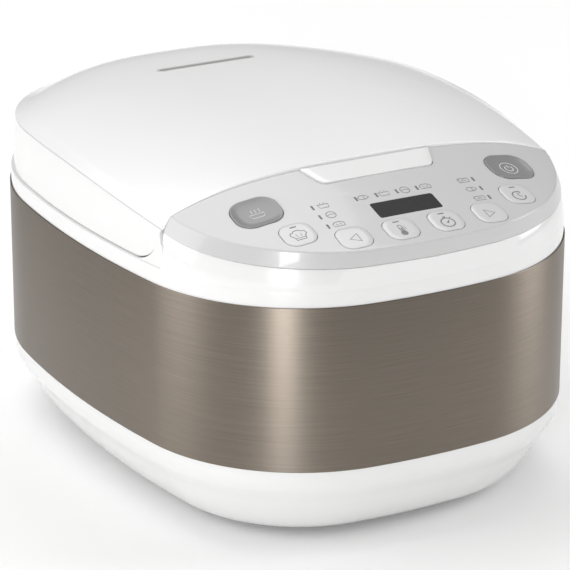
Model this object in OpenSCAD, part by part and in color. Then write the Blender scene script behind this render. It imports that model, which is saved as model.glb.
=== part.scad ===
// Rice cooker with a hinged domed lid, a sloping key panel and a lift-out bowl.
// Millimetres, +Z up, front towards -Y. The origin is under the middle, on the table.

/* [Body] */
// Width of the body at its widest section
body_w = 288; // [240:1:346]
// Depth of the body, from the front to the back
body_d = 372; // [310:1:447]
// Distance from the front to the widest section
front_reach = 200; // [170:1:240]
// Height of the tapered base, feet included
base_h = 52; // [44:1:63]
// Height of the metal band
band_h = 99.7; // [83:0.1:120]
// Radius of the front arc of the outline
front_r = 390; // [330:1:470]
// Radius of each side arc of the outline
side_r = 625; // [530:1:750]
// Radius of the back arc of the outline
rear_r = 420; // [350:1:500]
// Radius of the front corners of the outline
front_corner_r = 107; // [90:1:110]
// Radius of the rear corners of the outline
rear_corner_r = 130; // [108:1:135]

/* [Walls] */
// Thickness of the moulded plastic walls
wall = 2.5; // [1.8:0.1:3]
// Thickness of the key panel and of the tower under it
panel_t = 1.7; // [1.4:0.1:2.5]
// Thickness of the metal band
band_t = 0.8; // [0.5:0.1:1.2]
// How far the band stands proud of the plastic above and below it
band_proud = 1; // [0.5:0.1:1.5]
// Gap between the lid and the body
lid_gap = 0.8; // [0.5:0.1:1.5]

/* [Lid] */
// Height of the white rim under the lid skirt
rim_h = 10; // [8:0.5:14]
// Length of the key panel, from the front to the front edge of the lid
panel_len = 84; // [74:1:95]
// Height of the shoulder edge above the band, at the widest section
shoulder_h = 46.2; // [40:0.1:55]
// Height of the crown above the shoulder edge
crown_h = 14.5; // [10:0.5:18]
// Radius of the front lower corner of the skirt
skirt_corner_r = 24; // [18:1:28]
// Length of the steam slot
slot_len = 68; // [50:1:80]
// Width of the steam slot
slot_w = 6; // [5:0.5:8]

/* [Bowl] */
// Space between the bowl rim and the outside of the body, at the sides
rim_margin = 20; // [18:1:26]
// Thickness of the bowl
bowl_t = 1.6; // [1:0.1:2.5]
// Width of the rim flange of the bowl
flange_w = 5.5; // [4:0.5:7]
// Radial gap between the bowl and the well
bowl_gap = 3; // [1.5:0.5:4]
// Height of the heating plate's top above the table
plate_z = 38; // [36:1:42]

/* [Keys] */
// Width and depth of the six outlined keys
key_size = 19.5; // [17:0.5:21]
// Width of the two large dished keys
big_key_w = 29; // [25:0.5:32]
// Depth of the two large dished keys
big_key_d = 25; // [22:0.5:27]
// How far a key travels
key_travel = 0.8; // [0.5:0.1:1.2]
// Gap round each key
key_gap = 0.35; // [0.2:0.05:0.5]
// Width of the display window
display_w = 41; // [36:0.5:46]
// Depth of the display window
display_d = 14.6; // [12:0.2:17]
// Width of the lid release button
release_w = 84; // [74:1:88]
// How far the lid release button travels
release_travel = 3; // [2:0.5:4]

/* [Hinge] */
// Radius of the lid hinge pin
pin_r = 2.5; // [2:0.1:3]
// Radial clearance of the lid arms on the pin
pin_fit = 0.05; // [0.02:0.01:0.1]
// Radius of the hinge barrel
barrel_r = 12; // [10:0.5:12]

/* [Hidden] */

$fn = 64;
tiny = 0.01;
front_y = -body_d / 2;
rear_y = body_d / 2;
wide_y = front_y + front_reach;
band_top = base_h + band_h;
deck_z = band_top + rim_h;
lid_front_y = front_y + panel_len;
upper_in = band_proud;

// Outline: five tangent arcs on each side. A pair is a centre and a radius.
function meet(c0, r0, c1, r1, side) =
    let(gap = c1 - c0, d = norm(gap), u = gap / d, a = (r0 * r0 - r1 * r1 + d * d) / (2 * d))
    c0 + a * u + side * sqrt(max(r0 * r0 - a * a, 0)) * [-u[1], u[0]];
function heading(from, to) = atan2(to[1] - from[1], to[0] - from[0]);
front_c = [0, front_y + front_r];
side_c = [body_w / 2 - side_r, wide_y];
rear_c = [0, rear_y - rear_r];
front_corner = meet(front_c, front_r - front_corner_r, side_c, side_r - front_corner_r, 1);
rear_corner = meet(rear_c, rear_r - rear_corner_r, side_c, side_r - rear_corner_r, -1);
a_front = heading(front_c, front_corner);
a_side = heading(side_c, front_corner);
a_back = heading(side_c, rear_corner);
a_rear = heading(rear_c, rear_corner);
// Each arc: centre, radius, first angle, last angle, number of steps
ARCS = [[front_c, front_r, -90, a_front, 4], [front_corner, front_corner_r, a_front, a_side, 8],
    [side_c, side_r, a_side, a_back, 6], [rear_corner, rear_corner_r, a_back, a_rear, 7],
    [rear_c, rear_r, a_rear, 90, 3]];
// Points of the right half, each with its outward direction
RIGHT = concat([for (a = ARCS, i = [0:a[4] - 1])
    let(t = a[2] + (a[3] - a[2]) * i / a[4]) [a[0] + a[1] * [cos(t), sin(t)], [cos(t), sin(t)]]],
    [[[0, rear_y], [0, 1]]]);
half_count = len(RIGHT);
RING = concat(RIGHT, [for (i = [half_count - 2:-1:1])
    [[-RIGHT[i][0][0], RIGHT[i][0][1]], [-RIGHT[i][1][0], RIGHT[i][1][1]]]]);
function outline(inset) = [for (p = RING) p[0] - inset * p[1]];

// Heights of the upper body, as functions of the distance behind the widest section
shoulder_tilt = 0.0165;
shoulder_bow = 0.00034;
strip_front = 9.7;
strip_side = 3.2;
shoulder_in_front = 1.2;
shoulder_in_side = 12.8;
shoulder_power = 0.6;
seam_in_front = 1;
seam_in_side = 4.5;
seam_power = 0.35;
panel_slope = 0.289;
panel_rise = 35.5;
panel_rise_at = 15;
crown_tilt = 0.021;
crown_power = 3;
fall_from = 94;
fall_power = 5;
function ease(t) = let(c = min(max(t, 0), 1)) c * c * (3 - 2 * c);
function behind(y) = min(max((y - front_y) / front_reach, 0), 1);
function mix(a, b, share) = a + (b - a) * share;
function shoulder_in(y) = mix(shoulder_in_front, shoulder_in_side, pow(behind(y), shoulder_power));
function seam_in(y) = mix(seam_in_front, seam_in_side, pow(behind(y), seam_power));
function edge_z(y) = let(v = y - wide_y) band_top + shoulder_h + shoulder_tilt * v - shoulder_bow * v * v;
function panel_z(x, y) = band_top + panel_rise + panel_slope * (y - front_y - panel_rise_at)
    - 4e-4 * x * x - 3.7e-8 * pow(x, 4);
function rim_z(x, y) = y < lid_front_y ? panel_z(x, y) : edge_z(y);
function seam_z(x, y) = rim_z(x, y) - mix(strip_front, strip_side, ease(behind(y)));
function half_w(y, inset) =
    y < front_corner[1] + front_corner_r * sin(a_side) ?
        front_corner[0] + sqrt(max(pow(front_corner_r - inset, 2) - pow(y - front_corner[1], 2), 0)) :
    y < rear_corner[1] + rear_corner_r * sin(a_back) ?
        side_c[0] + sqrt(pow(side_r - inset, 2) - pow(y - wide_y, 2)) :
    rear_corner[0] + sqrt(max(pow(rear_corner_r - inset, 2) - pow(y - rear_corner[1], 2), 0));
shoulder_rear_y = rear_y - shoulder_in_side;
fall_y = min(wide_y + fall_from, shoulder_rear_y - 30);
function crown(x, y) = let(s = min(abs(x) / max(half_w(y, shoulder_in(y)), 1), 1),
    t = min(max((y - fall_y) / (shoulder_rear_y - fall_y), 0), 1))
    (crown_h - crown_tilt * (y - wide_y)) * (1 - pow(s, crown_power)) * (1 - pow(t, fall_power));
function top_z(x, y) = edge_z(y) + crown(x, y);

// Rings of points, and the closed skin over a list of rings with equally many points
module skin(rings) {
    n = len(rings[0]);
    last = (len(rings) - 1) * n;
    polyhedron(points = [for (r = rings, p = r) p], faces = concat([[for (i = [0:n - 1]) i]],
        [for (k = [0:len(rings) - 2], i = [0:n - 1]) let(a = k * n + i, b = k * n + (i + 1) % n)
            each [[a, a + n, b + n], [a, b + n, b]]],
        [[for (i = [n - 1:-1:0]) last + i]]));
}
// The closed wall between rings, where the last ring joins the first
module tube(rings) {
    n = len(rings[0]);
    m = len(rings);
    polyhedron(points = [for (r = rings, p = r) p],
        faces = [for (k = [0:m - 1], i = [0:n - 1])
            let(a = k * n + i, b = k * n + (i + 1) % n,
                c = (k + 1) % m * n + i, d = (k + 1) % m * n + (i + 1) % n)
            each [[a, c, d], [a, d, b]]]);
}
function level(inset, z) = [for (p = outline(inset)) [p[0], p[1], z]];
module slab(inset, z0, z1) {
    translate([0, 0, z0]) linear_extrude(z1 - z0) polygon(outline(inset));
}
module ring_wall(inset, thick, z0, z1) {
    translate([0, 0, z0]) linear_extrude(z1 - z0) difference() {
        polygon(outline(inset));
        polygon(outline(inset + thick));
    }
}
module box(low, high) { translate(low) cube(high - low); }
module rod(r, z0, z1) { translate([0, 0, z0]) cylinder(h = z1 - z0, r = r); }
module along_x(x0, x1) { translate([x0, 0, 0]) rotate([90, 0, 90]) linear_extrude(x1 - x0) children(); }
module pad(w, d, r) {
    square([w - 2 * r, d], center = true);
    square([w, d - 2 * r], center = true);
    for (sx = [-1, 1], sy = [-1, 1]) translate([sx * (w / 2 - r), sy * (d / 2 - r)]) circle(r);
}
module mirrored() {
    children();
    mirror([1, 0, 0]) children();
}
// A close-wound spring about Z, as one swept tube
module coil(r, wire, z0, z1, turns) {
    sides = 8;
    steps = 14 * turns;
    skin([for (k = [0:steps]) let(t = 360 * k / 14, c = [r * cos(t), r * sin(t), z0 + (z1 - z0) * k / steps])
        [for (i = [0:sides - 1]) let(a = -360 * i / sides)
            c + wire * [cos(a) * cos(t), cos(a) * sin(t), sin(a)]]]);
}

// Base
foot_h = 4;
foot_r = 9;
base_floor = foot_h + wall;
FEET = [[75, front_y + 94], [72, rear_y - 66]];
well_floor = 23;
// Posts: place and the height they reach
POSTS = [[80, front_y + 66, deck_z - wall], [50, rear_y - 82, well_floor]];
post_r = 5;
post_bore = 14;
screw_r = 1.6;
screw_head_r = 3.2;
// Height below the band and inset of the base's outside, from the band down
BASE_SIDE = [[0, 0], [10, 0.5], [20, 7], [30, 12.5], [40, 19], [45, 23.5], [base_h - foot_h, 29]];
inlet_w = 28;
inlet_z = 17;
inlet_h = 24;
inlet_face_y = rear_y - 10;
inlet_wall = 2;
inlet_socket = [24, 16.5];
inlet_deep = 17;
board_z = 11;
board_w = 124;
board_t = 1.6;
BOARD_Y = [front_y + 40, front_y + 82];
module base_shell() {
    steps = len(BASE_SIDE);
    color("white") difference() {
        union() {
            skin(concat([for (i = [steps - 1:-1:0])
                level(upper_in + BASE_SIDE[i][1], base_h - BASE_SIDE[i][0])],
                [for (i = [0:steps - 2])
                    level(upper_in + wall + BASE_SIDE[i][1], base_h - BASE_SIDE[i][0])],
                [level(upper_in + wall + BASE_SIDE[steps - 1][1], base_floor)]));
            mirrored() for (y = BOARD_Y) translate([board_w / 2 - 5, y]) rod(3, base_floor - tiny, board_z);
        }
        box([-inlet_w / 2 - 0.2, inlet_face_y - 30, inlet_z - 0.2],
            [inlet_w / 2 + 0.2, rear_y, inlet_z + inlet_h + 0.2]);
        mirrored() for (p = POSTS) translate([p[0], p[1]]) rod(screw_r, 0, base_floor + 1);
        for (i = [-4:4]) box([i * 12 - 2, -40, 0], [i * 12 + 2, 40, base_floor + 1]);
    }
}
module feet() {
    color("dimgray") mirrored() for (p = FEET) translate(p) {
        rod(foot_r, 0, foot_h);
    }
}
module tie_posts() {
    color("gainsboro") mirrored() for (p = POSTS) translate([p[0], p[1]]) difference() {
        rod(post_r, base_floor, p[2]);
        rod(screw_r, base_floor - 1, base_floor + post_bore);
    }
}
module base_screws() {
    color("silver") mirrored() for (p = POSTS) translate([p[0], p[1]]) {
        rod(screw_r, foot_h, base_floor + post_bore - 3);
        rod(screw_head_r, foot_h - 2, foot_h);
    }
}

// Metal band and the upper body
lip_h = 6;
lip_gap = 0.2;
module body_band() {
    color([0.58, 0.52, 0.46]) ring_wall(0, band_t, base_h, band_top);
}

// Bowl and well
hinge_y = rear_y - 21;
hinge_z = deck_z + barrel_r + 0.3;
rear_clear = barrel_r + 3.5;
room_d = hinge_y - rear_clear - lid_front_y - 2 * wall;
rim_r = min(body_w / 2 - rim_margin, room_d / 2 - 1);
bowl_y = lid_front_y + 2 * wall + room_d / 2;
bowl_r = rim_r - flange_w;
well_r = bowl_r + bowl_gap;
well_t = 0.8;
clear = 0.3;
seat_z = deck_z - 1.6;
rim_t = 2;
rim_top = seat_z + clear + rim_t;
well_corner = 26;
bowl_corner = 28;
plate_t = 9;
plate_r = bowl_r - bowl_corner - 3;
element_r = plate_r - 26;
element_wire = 3.6;
sensor_r = 15;
guide_r = 8;
stem_r = 6;
module at_bowl() { translate([0, bowl_y, 0]) children(); }
module cup_2d(r, corner, z0, z1) {
    translate([0, z0]) square([r - corner, z1 - z0]);
    translate([0, z0 + corner]) square([r, z1 - z0 - corner]);
    intersection() {
        translate([r - corner, z0 + corner]) circle(corner);
        translate([0, z0]) square([r, z1 - z0]);
    }
}
module pot_well() {
    top = deck_z - wall;
    color("silver") at_bowl() difference() {
        rotate_extrude() difference() {
            union() {
                cup_2d(well_r + well_t, well_corner, well_floor, top);
                translate([0, top - well_t]) square([well_r + 6, well_t]);
            }
            cup_2d(well_r, well_corner - well_t, well_floor + well_t, top + 1);
        }
        rod(guide_r, 0, base_h);
        mirrored() translate([12, -element_r]) rod(element_wire + 1, 0, base_h);
    }
}
module heating_plate() {
    low = plate_z - plate_t;
    color("lightgray") at_bowl() rotate_extrude() difference() {
        union() {
            translate([sensor_r + 3, low]) square([plate_r - sensor_r - 5, plate_t]);
            translate([sensor_r + 3, low]) square([plate_r - sensor_r - 3, plate_t - 2]);
            translate([plate_r - 2, plate_z - 2]) circle(2);
        }
        translate([element_r, low]) circle(element_wire);
    }
}
module heating_element() {
    low = plate_z - plate_t;
    color("gray") at_bowl() {
        difference() {
            rotate_extrude() translate([element_r, low]) circle(element_wire);
            box([-11, -element_r - 6, low - 6], [11, -element_r + 6, low + 6]);
        }
        mirrored() translate([12, -element_r + 0.6]) {
            rod(element_wire - 0.4, well_floor - 9, low);
        }
    }
}
module plate_posts() {
    color("silver") at_bowl() for (a = [30, 150, 270]) rotate(a + 60) translate([plate_r - 8, 0])
        rod(5, well_floor + well_t, plate_z - plate_t);
}
module sensor_guide() {
    color("black") at_bowl() difference() {
        union() {
            rod(guide_r, well_floor - 9, plate_z - 8);
            rod(guide_r + 5, well_floor + well_t, well_floor + well_t + 1.2);
        }
        rod(stem_r + clear, 0, plate_z);
    }
}
module sensor_cap() {
    color("lightgray") at_bowl() {
        rod(sensor_r, plate_z - 2.5, plate_z);
        rod(stem_r, well_floor - 12, plate_z - 2);
        difference() {
            rod(sensor_r, plate_z - 7, plate_z - 2);
            rod(sensor_r - 1.5, plate_z - 8, plate_z - 2.5);
        }
    }
}
module sensor_spring() {
    color("silver") at_bowl() coil(guide_r + 2.4, 0.6, well_floor + 2.7, plate_z - 3.2, 4);
}
module inner_bowl() {
    low = plate_z + clear;
    color([0.24, 0.24, 0.25]) at_bowl() rotate_extrude() difference() {
        union() {
            cup_2d(bowl_r, bowl_corner, low, rim_top);
            translate([0, rim_top - rim_t]) square([rim_r - rim_t / 2, rim_t]);
            translate([rim_r - rim_t / 2, rim_top - rim_t / 2]) circle(rim_t / 2);
        }
        cup_2d(bowl_r - bowl_t, bowl_corner - bowl_t, low + bowl_t, rim_top + 1);
    }
}

// Upper body: rim, deck, and the tower behind the key panel
panel_back = lid_front_y - lid_gap / 2;
lid_line = lid_front_y + lid_gap / 2;
line_steps = 16;
keep_off = 5;
AT_FOOT = 0;
AT_SEAM = 1;
AT_TOP = 2;
function skin_in(y, at, extra) =
    extra + (at == AT_FOOT ? upper_in : at == AT_SEAM ? seam_in(y) : shoulder_in(y));
function inset_pt(p, at, extra) = p[0] - skin_in(p[0][1], at, extra) * p[1];
// Plan ring of the key panel: the front arcs, then the straight back edge
function panel_plan(at, extra) =
    let(back = panel_back - extra, w = half_w(back, skin_in(back, at, extra)))
    concat([for (p = RING) if (p[0][0] >= 0 && p[0][1] < panel_back - keep_off) inset_pt(p, at, extra)],
        [for (i = [0:line_steps]) [w * (1 - 2 * i / line_steps), back]],
        [for (p = RING) if (p[0][0] < 0 && p[0][1] < panel_back - keep_off) inset_pt(p, at, extra)]);
// Plan ring of the lid: the straight front edge, then the side and rear arcs
function lid_plan(at, extra) =
    let(line = lid_line + extra, w = half_w(line, skin_in(line, at, extra)))
    concat([for (i = [0:line_steps]) [w * (2 * i / line_steps - 1), line]],
        [for (p = RING) if (p[0][1] > lid_line + keep_off) inset_pt(p, at, extra)]);
function shrink(plan, centre, share) = [for (p = plan) centre + share * (p - centre)];
function raised(plan, z) = [for (p = plan) [p[0], p[1], z]];
function on_panel_top(plan, drop) = [for (p = plan) [p[0], p[1], panel_z(p[0], p[1]) - drop]];
function on_seam(plan) = [for (p = plan) [p[0], p[1], seam_z(p[0], p[1])]];
function on_lid_top(plan, drop) = [for (p = plan) [p[0], p[1], top_z(p[0], p[1]) - drop]];
skirt_front = lid_front_y + 1.5;
skirt_z = deck_z + lid_gap;
skirt_in = 2.6;
skirt_rear = hinge_y - 8.5;
fill_proud = 0.6;
module skirt_profile(grow) {
    c = [skirt_front + skirt_corner_r, skirt_z + skirt_corner_r];
    translate(c) circle(skirt_corner_r + grow);
    translate([c[0], skirt_z - grow]) square([body_d, 80]);
    translate([skirt_front - grow, c[1]]) square([body_d, 60]);
}
latch_y = lid_front_y - 9;
latch_z = deck_z + 11;
latch_half = 8;
latch_pin_r = 1.5;
ear_t = 3;
slot_low = latch_z + 6;
slot_high = latch_z + 12.5;
panel_tilt = atan(panel_slope);
release_v = panel_len - 9.35;
release_d = 16.9;
release_back = panel_back - 1.1;
// Frame on the panel's surface: x, distance behind the front, and the local tilt
module on_panel(x, behind) {
    y = front_y + behind;
    drop = 8e-4 * x + 14.8e-8 * pow(x, 3);
    translate([x, y, panel_z(x, y)]) rotate([panel_tilt, 0, 0]) rotate([0, atan(drop), 0]) children();
}
shelf_depth = 17;
module upper_body() {
    color("white") difference() {
        union() {
            ring_wall(upper_in, wall, band_top, deck_z);
            ring_wall(band_t + lip_gap, wall, band_top - lip_h, band_top);
            slab(upper_in + wall - tiny, deck_z - wall, deck_z);
            tube([raised(panel_plan(AT_FOOT, 0), deck_z - tiny), on_seam(panel_plan(AT_SEAM, 0)),
                on_seam(panel_plan(AT_SEAM, panel_t)), raised(panel_plan(AT_FOOT, panel_t), deck_z - tiny)]);
            intersection() {
                ring_wall(skirt_in - fill_proud, wall, deck_z - tiny, deck_z + skirt_corner_r + 4);
                along_x(-body_w, body_w) difference() {
                    translate([panel_back - tiny, deck_z - 1])
                        square([skirt_corner_r + 4, skirt_corner_r - 4]);
                    skirt_profile(lid_gap);
                }
            }
            mirrored() box([latch_half + 2, latch_y - 4, deck_z - tiny],
                [latch_half + 2 + ear_t, latch_y + 4, latch_z + 4]);
            intersection() {
                on_panel(0, release_v) box([-46, -10, -shelf_depth - 2], [46, 14, -shelf_depth]);
                box([-body_w, front_y, deck_z], [body_w, panel_back - panel_t + tiny, deck_z + 90]);
            }
        }
        at_bowl() rod(well_r, band_top - lip_h - 1, deck_z + 1);
        at_bowl() rod(rim_r + clear, seat_z, deck_z + 1);
        box([-latch_half - 1, panel_back - panel_t - 1, slot_low],
            [latch_half + 1, panel_back + 1, slot_high]);
        box([-latch_half - 2, panel_back - wall - 12, slot_low + 2],
            [latch_half + 2, panel_back - panel_t, slot_high + 8]);
        translate([0, latch_y, latch_z]) rotate([0, 90, 0]) cylinder(h = 60, r = latch_pin_r, center = true);
        translate([0, front_y + 46, deck_z - wall - 1]) linear_extrude(wall + 2) pad(130, 36, 8);
    }
}

// Key panel and what lies under it
board_depth = 14;
board_front = 11;
board_back = panel_len - 22;
window_r = 1.5;
window_at = 34.9;
LIGHT_ROWS = [30.9, 40, 49.1];
light_x = 52.8;
LIGHT_TOP_X = [-25.1, -11.8, 1.5, 14.8];
light_top_at = 48.4;
light_size = [1.4, 4.2];
// Key centres: x and distance behind the front
PROGRAM = [-83.5, 58.6];
POWER = [83.5, 58.6];
MENU = [-71.8, 31.2];
CLOCK = [71.8, 31.2];
LEFT = [-44.1, 16.8];
RIGHT_ARROW = [44.1, 16.8];
TEMPERATURE = [-14.7, 15.6];
TIMER = [14.7, 15.6];
SMALL_KEYS = [MENU, CLOCK, LEFT, RIGHT_ARROW, TEMPERATURE, TIMER];
BIG_KEYS = [PROGRAM, POWER];
key_corner = 7;
big_corner = 10;
key_proud = 0.4;
key_body = 3.6;
key_wing = 1.5;
key_lip = 1.2;
switch_h = 3;
module at_lights() {
    for (x = [-light_x, light_x], b = LIGHT_ROWS) on_panel(x, b) children();
    for (x = LIGHT_TOP_X) on_panel(x, light_top_at) children();
}
module release_plan(grow) {
    w = release_w / 2 + grow;
    polygon([[-w + 5.5, -release_d / 2 - grow], [w - 5.5, -release_d / 2 - grow],
        [w + 0.6, release_d / 2 + grow], [-w - 0.6, release_d / 2 + grow]]);
}
PANEL_SHARES = [0.03, 0.3, 0.5, 0.7, 0.85, 1];
module key_panel() {
    centre = [0, front_y + panel_len * 0.55];
    plan = panel_plan(AT_TOP, 0);
    inner = panel_plan(AT_TOP, panel_t);
    color([0.9, 0.9, 0.91]) difference() {
        skin(concat([for (t = PANEL_SHARES) on_panel_top(shrink(inner, centre, t), panel_t)],
            [on_seam(panel_plan(AT_SEAM, panel_t)), on_seam(panel_plan(AT_SEAM, 0))],
            [for (k = [len(PANEL_SHARES) - 1:-1:0])
                on_panel_top(shrink(plan, centre, PANEL_SHARES[k]), 0)]));
        for (k = SMALL_KEYS) on_panel(k[0], k[1]) translate([0, 0, -6]) linear_extrude(9)
            pad(key_size + 2 * key_gap, key_size + 2 * key_gap, key_corner + key_gap);
        for (k = BIG_KEYS) on_panel(k[0], k[1]) translate([0, 0, -6]) linear_extrude(9)
            pad(big_key_w + 2 * key_gap, big_key_d + 2 * key_gap, big_corner + key_gap);
        on_panel(0, window_at) translate([0, 0, -6]) linear_extrude(9) pad(display_w, display_d, window_r);
        on_panel(0, release_v) translate([0, 0, -9]) linear_extrude(16) release_plan(key_gap);
        on_panel(0, release_v) box([-release_w / 2 - 0.6 - key_gap, release_d / 2 - 1, -9],
            [release_w / 2 + 0.6 + key_gap, release_d / 2 + 8, 7]);
        at_lights() box([-light_size[0] / 2, -light_size[1] / 2, -6],
            [light_size[0] / 2, light_size[1] / 2, 3]);
    }
}
module display_window() {
    color([0.16, 0.16, 0.16]) on_panel(0, window_at) translate([0, 0, -wall]) linear_extrude(wall - 0.1)
        pad(display_w, display_d, window_r);
}
module display_module() {
    color("darkgreen") on_panel(0, window_at)
        box([-display_w / 2 + 1, -display_d / 2 + 1, -board_depth],
            [display_w / 2 - 1, display_d / 2 - 1, -wall - 0.3]);
}
module indicator_lights() {
    color("whitesmoke") at_lights() box([-light_size[0] / 2, -light_size[1] / 2, -wall - 1],
        [light_size[0] / 2, light_size[1] / 2, -0.05]);
}
module control_board() {
    color("darkgreen") intersection() {
        on_panel(0, window_at) box([-97, board_front - window_at, -board_depth - board_t],
            [97, board_back - window_at, -board_depth]);
        slab(seam_in_side + 6.5, deck_z, deck_z + 90);
    }
}
// Depth of the board under a key, and of the key's stem
function board_under(k) = board_depth - (panel_z(0, 0) - panel_z(k[0], 0)) * cos(panel_tilt);
function stem_end(k) = board_under(k) - switch_h - key_travel - clear;
module key_switches() {
    color("black") for (k = concat(SMALL_KEYS, BIG_KEYS)) on_panel(k[0], k[1])
        let(d = board_under(k)) box([-3, -3, -d + 0.5], [3, 3, -d + switch_h]);
}
module small_key(k) {
    color([0.86, 0.86, 0.87]) on_panel(k[0], k[1]) {
        translate([0, 0, -key_body]) linear_extrude(key_body + key_proud)
            pad(key_size, key_size, key_corner);
        translate([0, 0, -key_body - key_lip]) linear_extrude(key_lip)
            pad(key_size + 2 * key_wing, key_size - 4, key_corner);
        rod(2.5, -stem_end(k), -key_body);
    }
}
module big_key(k) {
    dish_r = 70;
    color([0.62, 0.62, 0.63]) on_panel(k[0], k[1]) {
        difference() {
            translate([0, 0, -key_body]) linear_extrude(key_body + key_proud)
                pad(big_key_w, big_key_d, big_corner);
            translate([0, 0, dish_r - 0.9]) sphere(dish_r);
        }
        translate([0, 0, -key_body - key_lip]) linear_extrude(key_lip)
            pad(big_key_w + 2 * key_wing, big_key_d - 4, big_corner);
        rod(2.5, -stem_end(k), -key_body);
    }
}
module key_program() { big_key(PROGRAM); }
module key_power() { big_key(POWER); }
module key_menu() { small_key(MENU); }
module key_clock() { small_key(CLOCK); }
module key_left() { small_key(LEFT); }
module key_right() { small_key(RIGHT_ARROW); }
module key_temperature() { small_key(TEMPERATURE); }
module key_timer() { small_key(TIMER); }
release_body = 3.4;
// Place of the two springs from the middle of the button
spring_x = 28;
spring_y = -4;
module release_button() {
    color("white") intersection() {
        on_panel(0, release_v) {
            translate([0, 0, -release_body]) linear_extrude(release_body + 0.6) release_plan(0);
            mirrored() translate([spring_x, spring_y, 0]) rod(2, -release_body - 4, -release_body);
        }
        box([-body_w, front_y, deck_z], [body_w, release_back, deck_z + 90]);
    }
}
module release_spring() {
    color("silver") on_panel(0, release_v) mirrored() translate([spring_x, spring_y, 0])
        coil(3.4, 0.5, -shelf_depth + 0.6, -release_body - 0.6, 4);
}
module latch_hook() {
    top = latch_z + 11;
    color("silver") difference() {
        along_x(-latch_half, latch_half) {
            translate([latch_y, latch_z]) circle(4);
            translate([latch_y - 2.5, latch_z]) square([5, top - latch_z]);
            translate([latch_y + 2, top - 4]) square([panel_back - latch_y - 2.6, 4]);
        }
        translate([0, latch_y, latch_z]) rotate([0, 90, 0])
            cylinder(h = 60, r = latch_pin_r + pin_fit, center = true);
    }
}
module latch_pin() {
    color("gray") translate([0, latch_y, latch_z]) rotate([0, 90, 0])
        cylinder(h = 2 * (latch_half + 2 + ear_t), r = latch_pin_r, center = true);
}

// Electrics in the base
module power_board() {
    color("darkgreen") box([-board_w / 2, front_y + 34, board_z],
        [board_w / 2, front_y + 88, board_z + board_t]);
}
module power_parts() {
    top = board_z + board_t;
    color("orange") {
        box([-50, front_y + 46, top], [-22, front_y + 72, top + 22]);
        box([-10, front_y + 50, top], [6, front_y + 70, top + 16]);
        translate([24, front_y + 58]) rod(9, top, top + 20);
        box([40, front_y + 48, top], [52, front_y + 76, top + 10]);
    }
}
module power_inlet() {
    z_mid = inlet_z + inlet_h / 2;
    color("black") difference() {
        box([-inlet_w / 2, inlet_face_y - inlet_deep - 4, inlet_z],
            [inlet_w / 2, inlet_face_y, inlet_z + inlet_h]);
        box([-inlet_socket[0] / 2, inlet_face_y - inlet_deep, z_mid - inlet_socket[1] / 2],
            [inlet_socket[0] / 2, inlet_face_y + 1, z_mid + inlet_socket[1] / 2]);
    }
}
module inlet_pins() {
    z_mid = inlet_z + inlet_h / 2;
    color("silver") for (p = [[-7, -2], [0, 2.5], [7, -2]]) box(
        [p[0] - 1, inlet_face_y - inlet_deep, z_mid + p[1] - 2],
        [p[0] + 1, inlet_face_y - 6, z_mid + p[1] + 2]);
}

// Hinge at the rear
arm_x = 40;
arm_w = 14;
arm_gap = 1;
housing_half = 84;
pin_half = 62;
spring_cavity = [16, 31.5];
cavity_r = 7.5;
module at_hinge() { translate([0, hinge_y, hinge_z]) children(); }
module x_rod(r, x0, x1) { translate([x0, 0, 0]) rotate([0, 90, 0]) cylinder(h = x1 - x0, r = r); }
module rear_housing() {
    gap0 = arm_x - arm_w / 2 - arm_gap;
    gap1 = arm_x + arm_w / 2 + arm_gap;
    color("white") difference() {
        intersection() {
            slab(5.5, deck_z, deck_z + 60);
            union() for (s = [[-housing_half, -gap1], [-gap0, gap0], [gap1, housing_half]]) {
                at_hinge() x_rod(barrel_r, s[0], s[1]);
                box([s[0], hinge_y - barrel_r, deck_z], [s[1], hinge_y + barrel_r, hinge_z]);
            }
        }
        at_hinge() x_rod(pin_r, -pin_half, pin_half);
        mirrored() at_hinge() x_rod(cavity_r, spring_cavity[0], spring_cavity[1] + 10);
    }
}
module hinge_pin() {
    color("gray") at_hinge() x_rod(pin_r, -pin_half, pin_half);
}
module hinge_springs() {
    color("silver") mirrored() at_hinge() rotate([0, 90, 0])
        coil(5.6, 0.8, spring_cavity[0] + 1, spring_cavity[1] - 1.5, 4);
}

// Lid
frame_z = deck_z + 5.5;
frame_t = 3;
frame_in = 6;
slot_y = wide_y + 83;
cover_z = top_z(0, slot_y);
inner_lid_z = frame_z - 2.4;
inner_lid_t = 1.5;
valve_r = 12;
LID_SCREWS = [[112, wide_y - 60], [88, hinge_y - 34]];
module lid_cover() {
    centre = [0, (lid_line + rear_y) / 2];
    plan = lid_plan(AT_TOP, 0);
    inner = lid_plan(AT_TOP, wall);
    color("whitesmoke") difference() {
        skin([on_lid_top(shrink(inner, centre, 0.04), wall), on_lid_top(shrink(inner, centre, 0.35), wall),
            on_lid_top(shrink(inner, centre, 0.65), wall), on_lid_top(shrink(inner, centre, 0.88), wall),
            on_lid_top(inner, wall), on_seam(lid_plan(AT_SEAM, wall)), on_seam(lid_plan(AT_SEAM, 0)),
            on_lid_top(plan, 0), on_lid_top(shrink(plan, centre, 0.95), 0),
            on_lid_top(shrink(plan, centre, 0.85), 0),
            on_lid_top(shrink(plan, centre, 0.7), 0), on_lid_top(shrink(plan, centre, 0.5), 0),
            on_lid_top(shrink(plan, centre, 0.25), 0), on_lid_top(shrink(plan, centre, 0.04), 0)]);
        translate([0, slot_y, deck_z]) linear_extrude(80) pad(slot_len, slot_w, slot_w / 2 - tiny);
    }
}
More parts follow.
